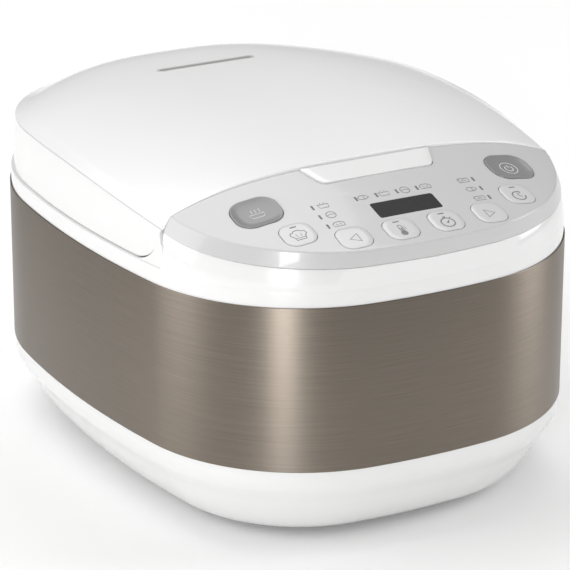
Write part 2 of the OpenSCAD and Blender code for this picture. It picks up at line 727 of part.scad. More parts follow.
// Places along the skirt: the rounded front corner, then even steps to the back
skirt_steps = 12;
skirt_drop = 0.3;
skirt_c = [skirt_front + skirt_corner_r, skirt_z + skirt_corner_r];
SKIRT_Y = concat([for (a = [0:11.25:90]) skirt_c[0] - skirt_corner_r * cos(a)],
    [for (i = [1:skirt_steps]) skirt_c[0] + (skirt_rear - skirt_c[0]) * i / skirt_steps]);
function skirt_low(y) = y < skirt_c[0] ?
    skirt_c[1] - sqrt(max(pow(skirt_corner_r, 2) - pow(y - skirt_c[0], 2), 0)) : skirt_z;
function skirt_at(y) = let(low = skirt_low(y), foot = skirt_in, head = max(seam_in(y), skirt_in),
    x0 = half_w(y, foot), x1 = half_w(y, head), top = seam_z(x1, y) - skirt_drop)
    [[x0, y, low], [x0 - wall, y, low], [x1 - wall, y, top], [x1, y, top]];
module lid_skirt() {
    color("white") mirrored() skin([for (y = SKIRT_Y) skirt_at(y)]);
}
module lid_frame() {
    wall_top = seam_z(0, lid_line) - 8;
    color("white") difference() {
        union() {
            intersection() {
                slab(frame_in + 2, frame_z, frame_z + frame_t);
                box([-body_w, lid_line, 0], [body_w, hinge_y - rear_clear, 400]);
            }
            box([-100, lid_line, skirt_z], [100, lid_line + wall, wall_top]);
            mirrored() for (p = LID_SCREWS) translate(p) rod(4, frame_z, top_z(p[0], p[1]) - wall - 3);
        }
        at_bowl() rod(rim_r - 10, 0, frame_z + frame_t + 1);
        mirrored() for (p = LID_SCREWS) translate(p) rod(screw_r, frame_z - 1, frame_z + 16);
        box([-latch_half - 1, lid_line - 1, slot_low], [latch_half + 1, lid_line + wall + 1, slot_high]);
    }
}
module lid_catch() {
    color("silver") box([-latch_half - 4, lid_line + wall, slot_low - 5],
        [latch_half + 4, lid_line + wall + 1.5, slot_low]);
}
module lid_screws() {
    color("silver") mirrored() for (p = LID_SCREWS) translate(p) {
        rod(screw_r, frame_z, frame_z + 15);
        rod(screw_head_r, frame_z - 2, frame_z);
    }
}
module lid_arms() {
    reach = 30;
    color("gainsboro") mirrored() difference() {
        union() {
            at_hinge() x_rod(barrel_r, arm_x - arm_w / 2, arm_x + arm_w / 2);
            box([arm_x - arm_w / 2, hinge_y - rear_clear - reach, frame_z + frame_t],
                [arm_x + arm_w / 2, hinge_y, hinge_z + 5]);
        }
        at_hinge() x_rod(pin_r + pin_fit, 0, pin_half);
    }
}
module inner_lid() {
    color("silver") at_bowl() difference() {
        rotate_extrude() {
            translate([0, inner_lid_z]) square([rim_r - 4, inner_lid_t]);
            translate([rim_r - 34, inner_lid_z + 0.5]) square([3, 3]);
        }
        translate([0, slot_y - bowl_y]) rod(valve_r, 0, frame_z + 5);
    }
}
module lid_gasket() {
    low = rim_top + clear;
    color("lightgray") at_bowl() rotate_extrude() difference() {
        translate([rim_r - 7, low]) square([8, frame_z - low]);
        translate([0, inner_lid_z]) square([rim_r - 4, inner_lid_t]);
    }
}
module steam_valve() {
    low = rim_top - 6;
    color("gainsboro") translate([0, slot_y]) difference() {
        union() {
            rod(valve_r, low, frame_z + frame_t);
            rod(valve_r + 2, inner_lid_z - 1.6, inner_lid_z);
        }
        rod(valve_r - 1.5, low + 1.5, frame_z + frame_t + 1);
        for (a = [0:60:300]) rotate(a) translate([6, 0]) rod(1.5, low - 1, low + 2);
    }
}
module steam_duct() {
    color("gainsboro") translate([0, slot_y]) difference() {
        union() {
            translate([0, 0, frame_z + frame_t]) linear_extrude(cover_z - wall - 1.6 - frame_z - frame_t)
                pad(slot_len + 8, slot_w + 24, 8);
        }
        translate([0, 0, frame_z + frame_t + 2]) linear_extrude(90) pad(slot_len + 4, slot_w + 20, 6);
        rod(valve_r - 1.5, 0, frame_z + 20);
    }
}
module steam_slot_frame() {
    color("silver") translate([0, slot_y, cover_z - wall - 0.5]) linear_extrude(wall + 0.7) difference() {
        pad(slot_len, slot_w, slot_w / 2 - tiny);
        pad(slot_len - 3, slot_w - 3, slot_w / 2 - 1.5 - tiny);
    }
}

base_shell();
feet();
body_band();
upper_body();
key_panel();
tie_posts();
base_screws();
pot_well();
heating_plate();
heating_element();
plate_posts();
sensor_guide();
sensor_cap();
sensor_spring();
inner_bowl();
power_board();
power_parts();
power_inlet();
inlet_pins();
control_board();
key_switches();
indicator_lights();
display_module();
display_window();
key_program();
key_power();
key_menu();
key_clock();
key_left();
key_right();
key_temperature();
key_timer();
release_button();
release_spring();
latch_hook();
latch_pin();
rear_housing();
hinge_pin();
hinge_springs();
lid_cover();
lid_skirt();
lid_frame();
lid_catch();
lid_arms();
lid_screws();
inner_lid();
lid_gasket();
steam_duct();
steam_valve();
steam_slot_frame();
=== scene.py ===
import bpy, bmesh, math
from mathutils import Matrix, Vector


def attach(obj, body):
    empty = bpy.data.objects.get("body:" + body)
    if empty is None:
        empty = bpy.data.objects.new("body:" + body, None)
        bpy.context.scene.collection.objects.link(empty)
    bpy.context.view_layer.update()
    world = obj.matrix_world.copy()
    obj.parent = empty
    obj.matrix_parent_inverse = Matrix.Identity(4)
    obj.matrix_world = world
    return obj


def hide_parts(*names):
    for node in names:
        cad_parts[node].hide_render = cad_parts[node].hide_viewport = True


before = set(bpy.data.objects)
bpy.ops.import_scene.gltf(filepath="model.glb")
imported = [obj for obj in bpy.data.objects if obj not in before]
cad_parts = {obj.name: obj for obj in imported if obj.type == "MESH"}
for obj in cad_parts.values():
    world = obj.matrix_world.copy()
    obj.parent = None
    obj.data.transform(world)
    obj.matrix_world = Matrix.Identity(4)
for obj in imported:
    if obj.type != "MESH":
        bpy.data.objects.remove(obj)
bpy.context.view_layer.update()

# --- View of the cooker
# It is seen from the front left, from a little above the lid, through a long lens.
back = Vector((-0.4417, -0.8232, 0.3567)).normalized()
right = Vector((0.8812, -0.4727, 0.0)).normalized()
up = back.cross(right)
eye = bpy.data.objects.new("view", bpy.data.cameras.new("view"))
eye.matrix_world = Matrix.Translation(Vector((0, 0.014, 0.09133)) + back * 1.9749) @ Matrix((right, up,
        back)).transposed().to_4x4()
eye.data.sensor_width = 36
eye.data.lens = 201.27
eye.data.shift_x = 0.0295
eye.data.shift_y = -0.0065
eye.data.clip_end = 50
bpy.context.scene.collection.objects.link(eye)
bpy.context.scene.camera = eye

# --- Base shell
# The base is one tapered tub moulded in glossy white plastic, with a row of air slots in its floor.
# Two long posts tie it to the upper body at the front and two short ones to the well at the back,
# and the metal band is held between base and upper body.
front_y, rear_y, wide_y = -186.0, 186.0, 14.0
base_top, band_top, deck_z = 52.0, 151.7, 161.7
foot_h, wall, upper_in = 4.0, 2.5, 1.0
front_c, front_r = Vector((0, front_y + 390)), 390.0
side_c, side_r = Vector((144 - 625, wide_y)), 625.0
rear_c, rear_r = Vector((0, rear_y - 420)), 420.0
front_corner_r, rear_corner_r = 107.0, 130.0
POSTS = ((80, front_y + 66), (50, rear_y - 82))


def meet(c0, r0, c1, r1, side):
    gap = c1 - c0
    d = gap.length
    u = gap / d
    a = (r0 * r0 - r1 * r1 + d * d) / (2 * d)
    return c0 + a * u + side * math.sqrt(max(r0 * r0 - a * a, 0)) * Vector((-u[1], u[0]))


def heading(start, end):
    return math.atan2(end[1] - start[1], end[0] - start[0])


front_corner = meet(front_c, front_r - front_corner_r, side_c, side_r - front_corner_r, 1)
rear_corner = meet(rear_c, rear_r - rear_corner_r, side_c, side_r - rear_corner_r, -1)
a_front, a_side = heading(front_c, front_corner), heading(side_c, front_corner)
a_back, a_rear = heading(side_c, rear_corner), heading(rear_c, rear_corner)
half = []
for centre, radius, start, end, steps in ((front_c, front_r, -math.pi / 2, a_front, 10),
                                          (front_corner, front_corner_r, a_front, a_side, 26),
                                          (side_c, side_r, a_side, a_back, 20),
                                          (rear_corner, rear_corner_r, a_back, a_rear, 24),
                                          (rear_c, rear_r, a_rear, math.pi / 2, 10)):
    for i in range(steps):
        a = start + (end - start) * i / steps
        half.append((centre[0] + radius * math.cos(a), centre[1] + radius * math.sin(a), math.cos(a),
                     math.sin(a)))
half.append((0.0, rear_y, 0.0, 1.0))
OUTLINE = half + [(-x, y, -nx, ny) for x, y, nx, ny in half[-2:0:-1]]


def around(inset, height):
    """Ring of points that follows the body's outline, with an inset and a height that may change from place to place."""
    ring = []
    for x, y, nx, ny in OUTLINE:
        d = inset(y) if callable(inset) else inset
        px, py = x - d * nx, y - d * ny
        ring.append((px, py, height(px, py) if callable(height) else height))
    return ring


def loft(rings, endless=False):
    """Closed skin over rings of equally many points; endless joins the last ring to the first."""
    n, count = len(rings[0]), len(rings)
    faces = []
    for k in range(count if endless else count - 1):
        a, b = k * n, (k + 1) % count * n
        faces += [(a + i, a + (i + 1) % n, b + (i + 1) % n, b + i) for i in range(n)]
    if not endless:
        faces += [tuple(range(n)), tuple((count - 1) * n + i for i in range(n))]
    return [tuple(p) for ring in rings for p in ring], faces


def build(name, parts, sharp=32):
    """One mesh object, in metres, from closed skins in millimetres."""
    mesh = bpy.data.meshes.new(name)
    points, faces = [], []
    for part_points, part_faces in parts:
        start = len(points)
        points += [(x / 1000, y / 1000, z / 1000) for x, y, z in part_points]
        faces += [tuple(start + i for i in f) for f in part_faces]
    mesh.from_pydata(points, [], faces)
    made = bmesh.new()
    made.from_mesh(mesh)
    bmesh.ops.remove_doubles(made, verts=made.verts, dist=2e-7)
    bmesh.ops.recalc_face_normals(made, faces=made.faces)
    made.to_mesh(mesh)
    made.free()
    thing = bpy.data.objects.new(name, mesh)
    bpy.context.scene.collection.objects.link(thing)
    crisp(thing, sharp)
    return thing


def crisp(thing, sharp=32):
    thing.data.shade_smooth()
    thing.data.set_sharp_from_angle(angle=math.radians(sharp))


def carve(thing, cutters, operation="DIFFERENCE", sharp=32):
    """Cuts the cutters out of a piece, or joins them to it, and keeps the result as its mesh."""
    for cutter in cutters:
        change = thing.modifiers.new("cut", "BOOLEAN")
        change.operation, change.object, change.solver = operation, cutter, "EXACT"
    bpy.context.view_layer.update()
    result = bpy.data.meshes.new_from_object(thing.evaluated_get(bpy.context.evaluated_depsgraph_get()))
    thing.modifiers.clear()
    thing.data = result
    for cutter in cutters:
        bpy.data.objects.remove(cutter)
    crisp(thing, sharp)
    return thing


def block(low, high):
    return loft([[(low[0], low[1], z), (high[0], low[1], z), (high[0], high[1], z), (low[0], high[1], z)]
                 for z in (low[2], high[2])])


def turned(profile, centre=(0, 0), steps=96):
    """Closed solid turned about a vertical axis from (radius, height) pairs, given from the axis or round a ring."""
    rings = [[(centre[0] + r * math.cos(2 * math.pi * i / steps),
               centre[1] + r * math.sin(2 * math.pi * i / steps), z)
              for i in range(steps)] for r, z in profile]
    return loft(rings, endless=profile[0][0] > 0.5 and profile[-1][0] > 0.5)


class Wire:
    """A shader socket that takes part in plain sums."""

    def __init__(self, tree, socket):
        self.tree, self.socket = tree, socket

    def sum(self, operation, first, second):
        node = self.tree.nodes.new("ShaderNodeMath")
        node.operation = operation
        for place, value in zip(node.inputs, (first, second)):
            if isinstance(value, Wire):
                self.tree.links.new(value.socket, place)
            else:
                place.default_value = value
        return Wire(self.tree, node.outputs[0])

    def __add__(self, other): return self.sum("ADD", self, other)
    def __radd__(self, other): return self.sum("ADD", other, self)
    def __sub__(self, other): return self.sum("SUBTRACT", self, other)
    def __rsub__(self, other): return self.sum("SUBTRACT", other, self)
    def __mul__(self, other): return self.sum("MULTIPLY", self, other)
    def __rmul__(self, other): return self.sum("MULTIPLY", other, self)
    def __truediv__(self, other): return self.sum("DIVIDE", self, other)
    def __pow__(self, other): return self.sum("POWER", self, other)


class Finish:
    """A material that is built node by node."""

    def __init__(self, name):
        self.material = bpy.data.materials.new(name)
        self.material.use_nodes = True
        self.tree = self.material.node_tree
        self.tree.nodes.clear()
        self.place = self.add("TexCoord", take="Object")

    def add(self, kind, settings=None, sockets=None, take=0):
        node = self.tree.nodes.new("ShaderNode" + kind)
        for key, value in (settings or {}).items():
            if key == "stops":
                while len(node.color_ramp.elements) < len(value):
                    node.color_ramp.elements.new(0.5)
                for stop, (at, shade) in zip(node.color_ramp.elements, value):
                    stop.position, stop.color = at, (*shade, 1)
            else:
                setattr(node, key, value)
        for key, value in (sockets or {}).items():
            if isinstance(value, Wire):
                self.tree.links.new(value.socket, node.inputs[key])
            else:
                node.inputs[key].default_value = value
        return Wire(self.tree, node.outputs[take]) if node.outputs else node

    def noise(self, scale, detail=3.0, stretch=None):
        place = self.place
        if stretch:
            place = self.add("VectorMath", {"operation": "MULTIPLY"}, {0: place, 1: stretch})
        return self.add("TexNoise", {}, {"Vector": place, "Scale": scale, "Detail": detail})

    def blend(self, share, first, second):
        return self.add("Mix", {"data_type": "RGBA"}, {0: share, 6: first, 7: second}, take=2)

    def bump(self, height, strength, distance):
        return self.add("Bump", {}, {"Height": height, "Strength": strength, "Distance": distance})

    def done(self, **sockets):
        named = {key.replace("_", " ").title().replace("Ior", "IOR"): value for key, value in sockets.items()}
        shader = self.add("BsdfPrincipled", {}, named)
        self.add("OutputMaterial", {}, {"Surface": shader})
        return self.material


def moulded(name, shade, rough, coat=0.0, grain=0.02, tint=0.012):
    """Moulded plastic: barely uneven in tone and gloss, with a very fine skin."""
    finish = Finish(name)
    cloud = finish.noise(14.0, 2.0)
    skin = finish.noise(2600.0, 2.0)
    dark = tuple(max(c - tint, 0) for c in shade) + (1,)
    return finish.done(base_color=finish.blend(cloud, dark, (*shade, 1)),
                       roughness=rough + (cloud - 0.5) * 0.08,
                       coat_weight=coat, coat_roughness=0.06, normal=finish.bump(skin, grain, 0.0001))


def paint(thing, material):
    thing.data.materials.clear()
    thing.data.materials.append(material)


def finish_piece(thing, body, slot, material, *nodes):
    """Gives a made piece its finish and its body, and hides the CAD parts it stands for."""
    paint(thing, material)
    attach(thing, body)
    if nodes:
        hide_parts(*nodes)


white = moulded("glossy_white_plastic", (0.75, 0.75, 0.747), 0.2, coat=0.5)
BASE_SIDE = [(0, 0), (5, 0.05), (10, 0.5), (15, 3.2), (20, 7), (25, 9.9), (30, 12.5), (35, 15.5), (40, 19),
             (43, 21.6), (45, 23.8),
             (46.6, 26.6), (47.6, 29.8), (48, 33.5)]
outer = [around(upper_in + d + (0.35 if h == 0 else 0), base_top - h) for h, d in BASE_SIDE]
outer.insert(1, around(upper_in, base_top - 0.4))
inner = [around(upper_in + wall + d, max(base_top - h, foot_h + wall)) for h, d in BASE_SIDE[:-2]]
base = build("base_tub", [loft(outer[::-1] + inner)])
cutters = [build("slots", [block((i * 12 - 2, -40, 0), (i * 12 + 2, 40, foot_h + wall + 1))
                           for i in range(-4, 5)]),
           build("inlet_hole", [block((-14.2, 145, 16.8), (14.2, 190, 41.2))]),
           build("screw_holes", [turned([(0.01, -1), (1.7, -1), (1.7, 9), (0.01, 9)], (sx * x, y), 24)
                                 for x, y in POSTS for sx in (-1, 1)])]
carve(base, cutters)
finish_piece(base, "root", "shell_white", white, "base_shell")

# --- Feet
# Four round rubber feet are pressed into the floor of the base; each has a rounded tread with a shallow cup.
# The base screws sit beside them: pan heads with a cross recess, driven up into the tie posts.
foot_profile = [(0.01, 0.6), (5.2, 0.6), (5.8, 0), (8.0, 0), (8.7, 0.3), (9.0, 1.0), (9.0, 4.0), (0.01, 4.0)]
rubber = moulded("black_rubber", (0.05, 0.05, 0.05), 0.75, grain=0.25, tint=0.02)


def repeated(name, pattern, places, material, size=1.0):
    """A copy of the pattern at each place, made by a node tree and kept as one plain mesh."""
    host = build(name, [([p for p in places], [])])
    host.data = bpy.data.meshes.new(name)
    host.data.from_pydata([(x / 1000, y / 1000, z / 1000) for x, y, z in places], [], [])
    tree = bpy.data.node_groups.new(name + "_copies", "GeometryNodeTree")
    tree.is_modifier = True
    tree.interface.new_socket("Places", in_out="INPUT", socket_type="NodeSocketGeometry")
    tree.interface.new_socket("Pattern", in_out="INPUT", socket_type="NodeSocketObject")
    tree.interface.new_socket("Size", in_out="INPUT", socket_type="NodeSocketFloat")
    tree.interface.new_socket("Finish", in_out="INPUT", socket_type="NodeSocketMaterial")
    tree.interface.new_socket("Copies", in_out="OUTPUT", socket_type="NodeSocketGeometry")
    into, out = tree.nodes.new("NodeGroupInput"), tree.nodes.new("NodeGroupOutput")
    points, source = tree.nodes.new("GeometryNodeMeshToPoints"), tree.nodes.new("GeometryNodeObjectInfo")
    spread, real = tree.nodes.new("GeometryNodeInstanceOnPoints"), tree.nodes.new("GeometryNodeRealizeInstances")
    coat = tree.nodes.new("GeometryNodeSetMaterial")
    for start, end in ((into.outputs["Places"], points.inputs[0]),
                       (points.outputs[0], spread.inputs["Points"]),
                       (into.outputs["Pattern"], source.inputs[0]),
                       (source.outputs["Geometry"], spread.inputs["Instance"]),
                       (into.outputs["Size"], spread.inputs["Scale"]), (spread.outputs[0], real.inputs[0]),
                       (real.outputs[0], coat.inputs["Geometry"]),
                       (into.outputs["Finish"], coat.inputs["Material"]),
                       (coat.outputs[0], out.inputs[0])):
        tree.links.new(start, end)
    modifier = host.modifiers.new("copies", "NODES")
    modifier.node_group = tree
    values = {"Pattern": pattern, "Size": size, "Finish": material}
    for item in tree.interface.items_tree:
        if item.name in values:
            modifier[item.identifier] = values[item.name]
    host.update_tag()
    bpy.context.view_layer.update()
    result = bpy.data.meshes.new_from_object(host.evaluated_get(bpy.context.evaluated_depsgraph_get()))
    host.modifiers.clear()
    host.data = result
    bpy.data.objects.remove(pattern)
    crisp(host, 30)
    return host


feet = repeated("feet_treads", build("foot", [turned(foot_profile, steps=48)]),
                [(sx * x, y, 0) for x, y in ((75, front_y + 94), (72, rear_y - 66)) for sx in (-1, 1)],
                rubber)
finish_piece(feet, "root", "foot_rubber", rubber, "feet")


def metal(name, shade, rough, scale=240.0, spread=0.05):
    """Bright metal with a fine uneven grain."""
    finish = Finish(name)
    grain = finish.noise(scale, 4.0)
    fine = finish.noise(3000.0, 2.0)
    dark = tuple(c * 0.86 for c in shade) + (1,)
    return finish.done(base_color=finish.blend(grain, dark, (*shade, 1)), metallic=1.0,
                       roughness=rough + (grain - 0.5) * spread,
                       normal=finish.bump(fine, 0.06, 0.0001))


steel = metal("zinc_plated_steel", (0.62, 0.62, 0.60), 0.34)


def screw(name, shaft, head_r=3.2, r=1.6):
    """Pan-head screw that points up, its head's seat at height 0."""
    made = build(name, [turned([(0.01, -2), (head_r - 0.9, -2), (head_r - 0.2, -1.5), (head_r, -0.8),
                                (head_r, 0), (r, 0), (r, shaft - 2),
                                (0.6, shaft), (0.01, shaft)], steps=32)])
    cross = build("cross", [block((-1.9, -0.35, -2.5), (1.9, 0.35, -1.1)),
                            block((-0.35, -1.9, -2.5), (0.35, 1.9, -1.1))])
    return carve(made, [cross])


screws = repeated("base_screw_set", screw("base_screw", 13.5),
                  [(sx * x, y, foot_h) for x, y in POSTS for sx in (-1, 1)], steel)
finish_piece(screws, "root", "fastener_steel", steel, "base_screws")

# --- Metal band
# A wrap of thin steel sheet goes once round the body; it is brushed along its length and tinted a warm grey.
# Its edges are turned in a little, and the plastic above and below holds it.
band_profile = [(0.8, 52.0), (0.4, 52.0), (0.2, 52.15), (0.1, 52.5), (0.1, 151.2), (0.2, 151.55),
                (0.4, 151.7), (0.8, 151.7)]
band = build("brushed_band", [loft([around(d, z) for d, z in band_profile], endless=True)], sharp=50)
finish = Finish("brushed_band_steel")
strokes = finish.noise(1.0, 3.0, (22.0, 22.0, 2600.0))
hairs = finish.noise(1.0, 2.0, (60.0, 60.0, 9000.0))
tone = finish.blend(strokes * 0.7 + hairs * 0.3, (0.15, 0.13, 0.108, 1), (0.33, 0.285, 0.24, 1))
band_steel = finish.done(base_color=tone, metallic=1.0, roughness=0.44 + (strokes - 0.5) * 0.2,
                         anisotropic=0.85, anisotropic_rotation=0.25,
                         normal=finish.bump(strokes * 0.6 + hairs * 0.4, 0.35, 0.00006))
finish_piece(band, "root", "band_metal", band_steel, "body_band")

# --- Upper body
# The upper body is one glossy white moulding: a low rim above the band, the deck that carries the bowl,
# and the raised front wall that the key panel closes.
lid_front_y, panel_len = -102.0, 84.0
hinge_y = 165.0
rim_r, bowl_y, bowl_r, well_r = 122.25, 26.25, 116.75, 119.75
seat_z, rim_top, plate_z = 160.1, 162.4, 38.0
panel_back, lid_line, keep_off, panel_t = -102.4, -101.6, 5.0, 1.7


def ease(t):
    c = min(max(t, 0), 1)
    return c * c * (3 - 2 * c)


def behind(y):
    return min(max((y - front_y) / 200, 0), 1)


def shoulder_in(y):
    return 1.2 + (12.8 - 1.2) * behind(y) ** 0.6


def seam_in(y):
    return 1 + (4.5 - 1) * behind(y) ** 0.35


def foot_in(y):
    return upper_in


def edge_z(y):
    v = y - wide_y
    return band_top + 46.2 + 0.0165 * v - 0.00034 * v * v


def panel_z(x, y):
    return band_top + 35.5 + 0.289 * (y - front_y - 15) - 4e-4 * x * x - 3.7e-8 * x ** 4


def seam_z(x, y):
    return (panel_z(x, y) if y < lid_front_y else edge_z(y)) - (9.7 + (3.2 - 9.7) * ease(behind(y)))


def half_w(y, inset):
    if y < front_corner[1] + front_corner_r * math.sin(a_side):
        return front_corner[0] + math.sqrt(max((front_corner_r - inset) ** 2 - (y - front_corner[1]) ** 2, 0))
    if y < rear_corner[1] + rear_corner_r * math.sin(a_back):
        return side_c[0] + math.sqrt((side_r - inset) ** 2 - (y - wide_y) ** 2)
    return rear_corner[0] + math.sqrt(max((rear_corner_r - inset) ** 2 - (y - rear_corner[1]) ** 2, 0))


def panel_plan(inset, extra, height, line_steps=40):
    """Ring round the key panel: the front arcs, then the straight edge at its back."""
    line = panel_back - extra
    w = half_w(line, inset(line) + extra)
    sides = [(x - (inset(y) + extra) * nx, y - (inset(y) + extra) * ny, x >= 0) for x, y, nx,
             ny in OUTLINE if y < panel_back - keep_off]
    plan = [(x, y) for x, y, is_right in sides if is_right] + [(w * (1 - 2 * i / line_steps), line)
                                                            for i in range(line_steps + 1)]
    plan += [(x, y) for x, y, is_right in sides if not is_right]
    return [(x, y, height(x, y) if callable(height) else height) for x, y in plan]


def on_circle(r, z):
    """Ring of the bowl's circle, point for point beside the outline's."""
    ring = []
    for x, y, nx, ny in OUTLINE:
        a = math.atan2(y - bowl_y, x)
        ring.append((r * math.cos(a), bowl_y + r * math.sin(a), z))
    return ring


lip = 6.0
deck = loft([around(1.0, band_top - lip), around(1.0, deck_z - 0.8), around(1.15, deck_z - 0.25),
             around(1.6, deck_z),
             on_circle(rim_r + 0.6, deck_z), on_circle(rim_r + 0.3, deck_z - 0.3),
             on_circle(rim_r + 0.3, seat_z),
             on_circle(well_r, seat_z), on_circle(well_r, deck_z - wall),
             around(upper_in + wall, deck_z - wall),
             around(upper_in + wall, band_top - lip)], endless=True)
tower = loft([panel_plan(foot_in, 0, deck_z - 0.6), panel_plan(foot_in, 0, deck_z + 0.01),
              panel_plan(seam_in, 0, lambda x, y: seam_z(x, y) - 0.45),
              panel_plan(seam_in, 0.25, lambda x, y: seam_z(x, y) - 0.2),
              panel_plan(seam_in, panel_t, lambda x, y: seam_z(x, y) - 0.2),
              panel_plan(foot_in, panel_t + 0.5, deck_z - 0.6)], endless=True)
upper = build("upper_moulding", [deck])
raised_front = build("raised_front", [tower])
latch_y, latch_z = -111.0, 172.7
window = build("latch_window", [block((-9, panel_back - 4, latch_z + 6),
                                      (9, panel_back + 1, latch_z + 12.5))])
carve(raised_front, [window])
ears = build("latch_ears", [block((sx * 11.5 - 1.5, latch_y - 4, deck_z - 0.6),
                                  (sx * 11.5 + 1.5, latch_y + 4, latch_z + 4)) for sx in (-1, 1)])
# The moulding fills the corner below the skirt's rounded front
skirt_front, skirt_z, skirt_rear, skirt_in, skirt_r, lid_gap = -100.5, 162.5, 156.5, 2.6, 24.0, 0.8
corner_y, corner_z = skirt_front + skirt_r, skirt_z + skirt_r
fillers = []
for side in (-1, 1):
    rings = []
    for i in range(25):
        y = panel_back - 0.6 + 23.5 * i / 24
        low = max(skirt_r ** 2 - max(corner_y - y, 0) ** 2, 0)
        grown = skirt_r + lid_gap
        top = corner_z - math.sqrt(max(grown ** 2 - min(corner_y - y, grown) ** 2,
                                       0)) if y > corner_y - grown else corner_z
        top = min(top, seam_z(140, y) - 1.5)
        x0, x1 = half_w(y, skirt_in - 0.6), half_w(y, skirt_in - 0.6 + wall)
        rings.append([(side * x0, y, deck_z - 0.4), (side * x0, y, top), (side * x1, y, top),
                      (side * x1, y, deck_z - 0.4)])
    fillers.append(loft(rings))
skirt_fill = build("skirt_fill", fillers)
for part in (upper, raised_front, ears, skirt_fill):
    paint(part, white)
whole = [upper, raised_front, ears, skirt_fill]
with bpy.context.temp_override(active_object=upper, selected_editable_objects=whole, selected_objects=whole,
                               object=upper):
    bpy.ops.object.join()
finish_piece(upper, "root", "shell_white", white, "upper_body")

# --- Key panel
# The key panel is a thin sloping cover with a satin grey film on its face; its edge turns down to meet the raised front.
# It has an opening for each key, the display, the lights and the release button, and snaps into the front wall.
tilt = math.atan(0.289)
key_gap = 0.35


def on_panel(x, distance):
    """Seat on the panel's face: x, and the distance behind the front."""
    y = front_y + distance
    turn = math.atan(8e-4 * x + 14.8e-8 * x ** 3)
    return Matrix.Translation((x, y, panel_z(x, y))) @ Matrix.Rotation(tilt, 4, "X") @ Matrix.Rotation(turn,
                                                            4, "Y")


def pad(w, d, r, steps=8):
    """Outline of a rectangle with round corners."""
    points = []
    for sx, sy, start in ((1, -1, -90), (1, 1, 0), (-1, 1, 90), (-1, -1, 180)):
        for i in range(steps + 1):
            a = math.radians(start + 90 * i / steps)
            points.append((sx * (w / 2 - r) + r * math.cos(a), sy * (d / 2 - r) + r * math.sin(a)))
    return points


def seated(seat, rings):
    return [[tuple(seat @ Vector(p)) for p in ring] for ring in rings]


def prism(seat, plan, low, high):
    return loft(seated(seat, [[(x, y, z) for x, y in plan] for z in (low, high)]))


def towards(ring, centre, share, height):
    points = []
    for x, y, z in ring:
        px, py = centre[0] + share * (x - centre[0]), centre[1] + share * (y - centre[1])
        points.append((px, py, height(px, py)))
    return points


def rounded_edge(low, edge, top, steps=3):
    """Rings that round off the edge ring between a ring below it and one inside it."""
    rings = []
    for k in range(steps + 1):
        t = k / steps
        rings.append([tuple((1 - t) ** 2 * a[j] + 2 * t * (1 - t) * b[j] + t * t * c[j] for j in range(3))
                      for a, b, c in zip(low, edge, top)])
    return rings


def release_plan(grow, past=0.0):
    """Outline of the release button; past carries the two sides on behind its back edge."""
    w, d = 42 + grow, 8.45 + grow
    rear_w = w + 0.6 + 0.36 * past
    corners = [(-w + 5.5, -d), (w - 5.5, -d), (rear_w, d + past), (-rear_w, d + past)]
    points = []
    for k, (x, y) in enumerate(corners):
        before, after = corners[k - 1], corners[(k + 1) % 4]
        r = 4.5 if y < 0 else 0.8
        ends = []
        for other in (before, after):
            away = Vector((other[0] - x, other[1] - y)).normalized() * r
            ends.append(Vector((x, y)) + away)
        for i in range(7):
            t = i / 6
            points.append(tuple((1 - t) ** 2 * ends[0] + 2 * t * (1 - t) * Vector((x, y)) + t * t * ends[1]))
    return points


SMALL_KEYS = {"menu": (-71.8, 31.2), "clock": (71.8, 31.2), "left": (-44.1, 16.8), "right": (44.1, 16.8),
              "temperature": (-14.7, 15.6), "timer": (14.7, 15.6)}
BIG_KEYS = {"program": (-83.5, 58.6), "power": (83.5, 58.6)}
key_size, key_corner = 19.5, 7.0
release_at = panel_len - 9.35
# Sine and cosine of the panel's slope
panel_sin, panel_cos = 0.277, 0.961
LIGHTS = [(side * 52.8, at) for side in (-1, 1) for at in (30.9, 40, 49.1)] + [(x, 48.4)
        for x in (-25.1, -11.8, 1.5, 14.8)]
centre = (0.0, front_y + panel_len * 0.55)
edge = panel_plan(shoulder_in, 0, panel_z)
face = [towards(edge, centre, share, panel_z) for share in (0.02, 0.15, 0.3, 0.45, 0.6, 0.75, 0.88, 0.96)]
low_edge = [tuple(a + (b - a) * 0.1 for a, b in zip(p, q)) for p,
            q in zip(edge, panel_plan(seam_in, 0, seam_z))]
face += rounded_edge(towards(edge, centre, 0.987, panel_z), edge, low_edge)
strip = [panel_plan(seam_in, 0, lambda x, y: seam_z(x, y) + 0.4), panel_plan(seam_in, 0.3, seam_z),
         panel_plan(seam_in, panel_t, seam_z)]
under = [towards(panel_plan(shoulder_in, panel_t, panel_z), centre, share, lambda x,
                 y: panel_z(x, y) - panel_t)
         for share in (1, 0.88, 0.7, 0.45, 0.2, 0.02)]
panel = build("key_panel_cover", [loft(face + strip + under)], sharp=28)
openings = [prism(on_panel(*at), pad(key_size + 2 * key_gap, key_size + 2 * key_gap, key_corner + key_gap),
                  -6, 3) for at in SMALL_KEYS.values()]
openings += [prism(on_panel(*at), pad(29 + 2 * key_gap, 25 + 2 * key_gap, 10 + key_gap), -6, 3)
             for at in BIG_KEYS.values()]
openings += [prism(on_panel(0, 34.9), pad(41, 14.6, 1.5), -6, 3),
             prism(on_panel(0, release_at), release_plan(key_gap, 8), -9, 7)]
openings += [prism(on_panel(*at), pad(1.4, 4.2, 0.4), -6, 3) for at in LIGHTS]
carve(panel, [build("openings", openings)], sharp=28)
film = moulded("satin_grey_film", (0.53, 0.53, 0.53), 0.3, coat=0.35, grain=0.03, tint=0.01)
finish_piece(panel, "root", "panel_grey", film, "key_panel")

